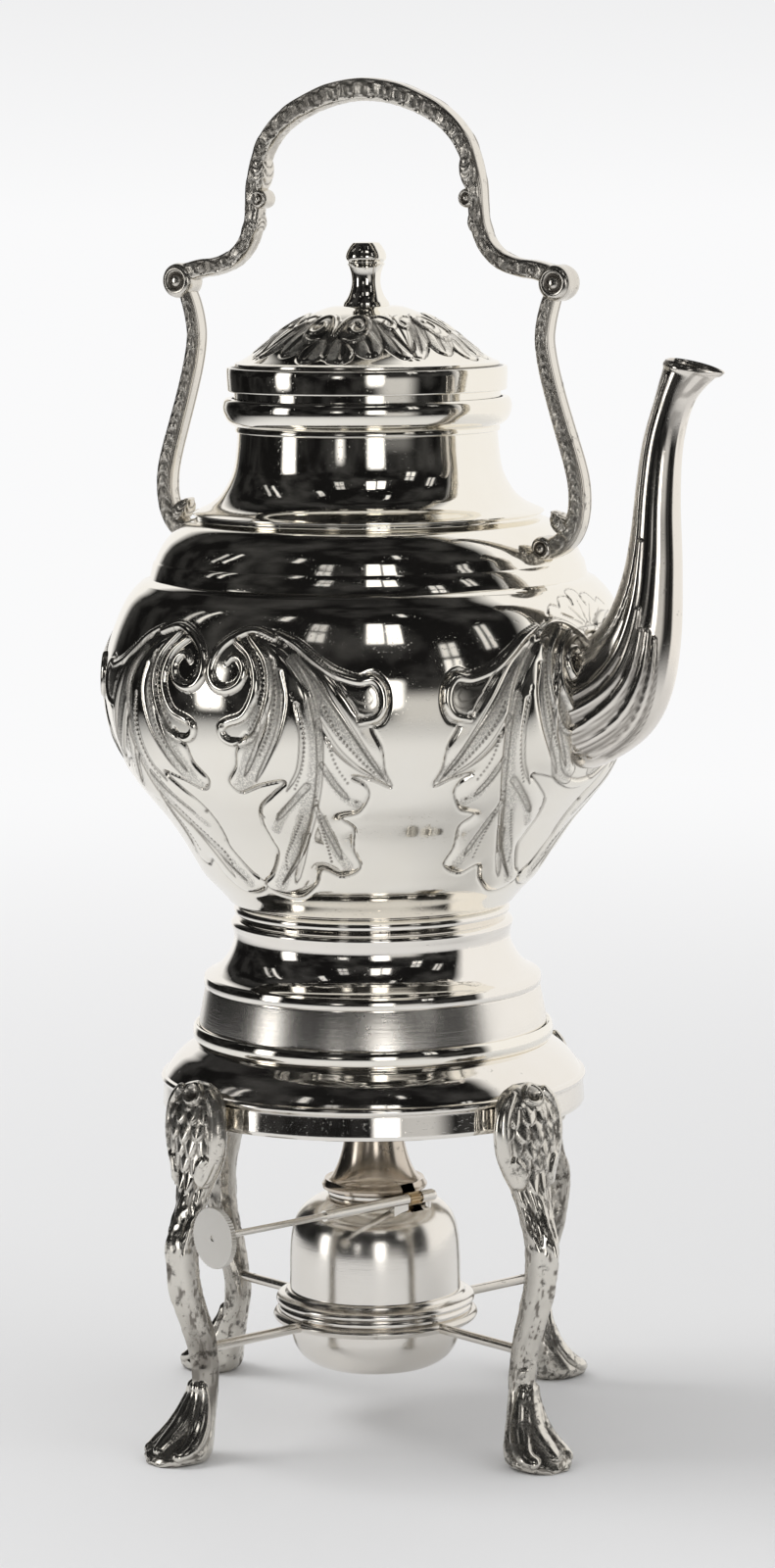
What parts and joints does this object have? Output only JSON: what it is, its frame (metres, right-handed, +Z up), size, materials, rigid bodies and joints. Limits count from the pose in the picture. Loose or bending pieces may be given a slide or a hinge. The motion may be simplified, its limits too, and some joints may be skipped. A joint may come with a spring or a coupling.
{
  "type": "spirit kettle on stand",
  "caption": "Silver kettle with a hinged lid, a fixed upright handle and a swan-neck spout, lifted off a legged stand that holds a wick burner.",
  "frame": {"origin": "on the table, under the kettle's axis, midway between the four feet", "axes": "+Z up; +X towards the spout; +Y towards the side where the lid is hinged"},
  "size_m": [0.2049, 0.1732, 0.4004],
  "materials": {
    "silver_sheet": "silver plated, polished, engraved",
    "silver_cast": "silver plated, cast and chased, darkened in the hollows",
    "burner_silver": "silver plated, polished plain",
    "heated_silver": "silver plated, warmed and dulled by the flame",
    "bare_brass": "bare, dull",
    "wick_cotton": "braided cotton"
  },
  "bodies": {
    "stand": {"stand_top": "silver_sheet", "seat_ring": "silver_sheet", "burner_ring": "silver_cast", "leg_1": "silver_cast", "leg_2": "silver_cast", "leg_3": "silver_cast", "leg_4": "silver_cast", "strut_1": "silver_cast", "strut_2": "silver_cast", "strut_3": "silver_cast", "strut_4": "silver_cast"},
    "kettle": {"kettle_bowl": "silver_sheet", "shoulder": "silver_sheet", "mouth_rim": "silver_sheet", "foot_ring": "silver_sheet", "spout": "silver_sheet", "strainer": "silver_sheet", "handle_bow": "silver_cast", "handle_arm_front": "silver_cast", "handle_arm_rear": "silver_cast", "rim_hinge": "silver_sheet", "hinge_pin": "silver_sheet"},
    "lid": {"lid_shell": "silver_sheet", "lid_bezel": "silver_sheet", "finial": "silver_sheet", "finial_nut": "silver_sheet", "lid_hinge": "silver_sheet"},
    "burner": {"reservoir": "burner_silver", "girdle": "burner_silver", "burner_neck": "burner_silver", "burner_cone": "heated_silver", "wick_tube": "bare_brass", "bearing_sleeve": "burner_silver", "sleeve_bracket": "burner_silver", "end_bearing": "burner_silver"},
    "wick_slide": {"wick": "wick_cotton", "wick_carrier": "bare_brass", "wick_rack": "bare_brass"},
    "wick_knob": {"wick_spindle": "burner_silver", "thumb_wheel": "burner_silver", "pinion": "bare_brass"}
  },
  "joints": [
    {"name": "kettle_lift", "type": "slide", "parent": "stand", "child": "kettle", "axis": [0, 0, 1], "range_m": [0, 0.08]},
    {"name": "lid_swing", "type": "hinge", "parent": "kettle", "child": "lid", "pos_m": [0, 0.0444, 0.3086], "axis": [-1, 0, 0], "range_deg": [0, 95]},
    {"name": "burner_lift", "type": "slide", "parent": "stand", "child": "burner", "axis": [0, 0, 1], "range_m": [0, 0.022]},
    {"name": "spindle_turn", "type": "hinge", "parent": "burner", "child": "wick_knob", "pos_m": [0.01682, -0.00519, 0.07], "axis": [0.2949, 0.9555, 0], "range_deg": [0, 269.63]},
    {"name": "wick_raise", "type": "slide", "parent": "burner", "child": "wick_slide", "axis": [0, 0, 1], "range_m": [0, 0.008]}
  ],
  "couplings": [
    {"joint": "spindle_turn", "follows": "wick_raise", "rad_per_m": 588.24}
  ]
}
